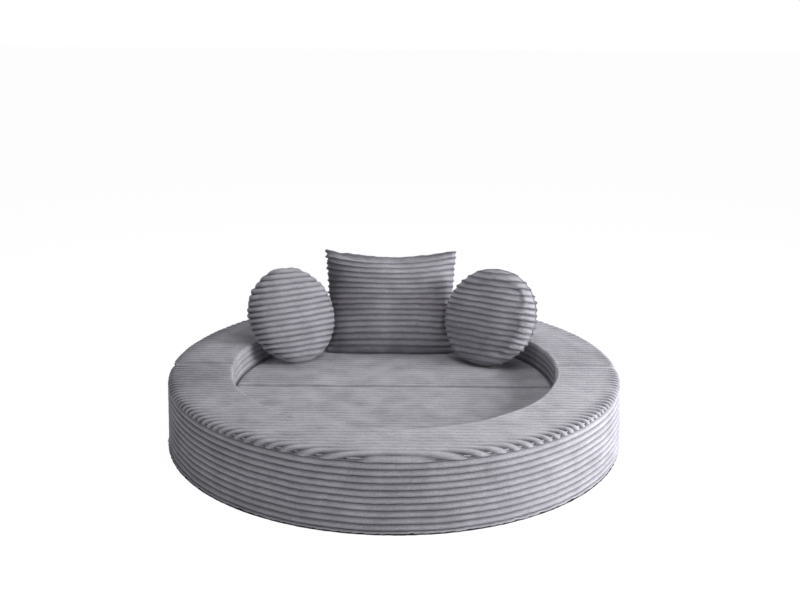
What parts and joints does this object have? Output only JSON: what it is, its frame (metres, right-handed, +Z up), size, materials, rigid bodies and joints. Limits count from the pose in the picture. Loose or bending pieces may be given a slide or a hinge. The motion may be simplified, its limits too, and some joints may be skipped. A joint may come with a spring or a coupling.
{
  "type": "round sofa bed",
  "caption": "Round floor sofa bed in ribbed plush: a padded ring in two halves round a sunken pair of half-disc mats, with loose back cushions.",
  "frame": {"origin": "on the floor at the centre of the round ring", "axes": "+Z up, -Y to the front, +X along the split line to the viewer's right"},
  "size_m": [1.8, 1.8, 0.6107],
  "materials": {
    "plush": "matte",
    "foam": "matte",
    "stuffing": "matte",
    "base_cloth": "matte",
    "hook_and_loop": "matte",
    "zip_tape": "matte",
    "zip_metal": "satin"
  },
  "bodies": {
    "front_ring": {"front_ring_foam": "foam", "front_ring_top_panel": "plush", "front_ring_outer_wall": "plush", "front_ring_inner_wall": "plush", "front_ring_end_panels": "plush", "front_ring_join_patches": "hook_and_loop", "front_ring_base": "base_cloth", "front_ring_zip": "zip_tape"},
    "front_mat": {"front_mat_foam": "foam", "front_mat_top_panel": "plush", "front_mat_rim": "plush", "front_mat_straight_wall": "plush", "front_mat_base": "base_cloth", "front_mat_zip": "zip_tape"},
    "front_ring_slider": {"front_ring_zip_slider": "zip_metal"},
    "front_mat_slider": {"front_mat_zip_slider": "zip_metal"},
    "rear_ring": {"rear_ring_foam": "foam", "rear_ring_top_panel": "plush", "rear_ring_outer_wall": "plush", "rear_ring_inner_wall": "plush", "rear_ring_end_panels": "plush", "rear_ring_join_patches": "hook_and_loop", "rear_ring_base": "base_cloth", "rear_ring_zip": "zip_tape"},
    "rear_mat": {"rear_mat_foam": "foam", "rear_mat_top_panel": "plush", "rear_mat_rim": "plush", "rear_mat_straight_wall": "plush", "rear_mat_base": "base_cloth", "rear_mat_zip": "zip_tape"},
    "rear_ring_slider": {"rear_ring_zip_slider": "zip_metal"},
    "rear_mat_slider": {"rear_mat_zip_slider": "zip_metal"},
    "square_pillow": {"square_pillow_front_cover": "plush", "square_pillow_back_cover": "plush", "square_pillow_insert": "stuffing"},
    "prop_pillow": {"prop_pillow_front_cover": "plush", "prop_pillow_back_cover": "plush", "prop_pillow_insert": "stuffing"},
    "left_round_cushion": {"left_round_cushion_front_cover": "plush", "left_round_cushion_back_cover": "plush", "left_round_cushion_insert": "stuffing"},
    "right_round_cushion": {"right_round_cushion_front_cover": "plush", "right_round_cushion_back_cover": "plush", "right_round_cushion_insert": "stuffing"}
  },
  "joints": [
    {"name": "rear_ring_pull_away", "type": "slide", "parent": "front_ring", "child": "rear_ring", "axis": [0, 1, 0], "range_m": [0, 0.6]},
    {"name": "front_mat_lift_out", "type": "slide", "parent": "front_ring", "child": "front_mat", "axis": [0, 0, 1], "range_m": [0, 0.4]},
    {"name": "rear_mat_lift_out", "type": "slide", "parent": "rear_ring", "child": "rear_mat", "axis": [0, 0, 1], "range_m": [0, 0.4]},
    {"name": "square_pillow_lift_off", "type": "slide", "parent": "rear_mat", "child": "square_pillow", "axis": [0, 0.2, 0.9798], "range_m": [0, 0.5]},
    {"name": "left_cushion_lift_off", "type": "slide", "parent": "rear_mat", "child": "left_round_cushion", "axis": [0, 0, 1], "range_m": [0, 0.5]},
    {"name": "right_cushion_lift_off", "type": "slide", "parent": "rear_mat", "child": "right_round_cushion", "axis": [0, 0, 1], "range_m": [0, 0.5]},
    {"name": "prop_pillow_lift_off", "type": "slide", "parent": "rear_mat", "child": "prop_pillow", "axis": [0, 0.8, 0.6], "range_m": [0, 0.5]},
    {"name": "front_ring_zip_run", "type": "hinge", "parent": "front_ring", "child": "front_ring_slider", "pos_m": [0, 0, 0.042], "axis": [0, 0, 1], "range_deg": [0, 155]},
    {"name": "front_mat_zip_run", "type": "slide", "parent": "front_mat", "child": "front_mat_slider", "axis": [1, 0, 0], "range_m": [0, 1.04]},
    {"name": "rear_ring_zip_run", "type": "hinge", "parent": "rear_ring", "child": "rear_ring_slider", "pos_m": [0, 0, 0.042], "axis": [0, 0, 1], "range_deg": [0, 155]},
    {"name": "rear_mat_zip_run", "type": "slide", "parent": "rear_mat", "child": "rear_mat_slider", "axis": [1, 0, 0], "range_m": [0, 1.04]}
  ]
}
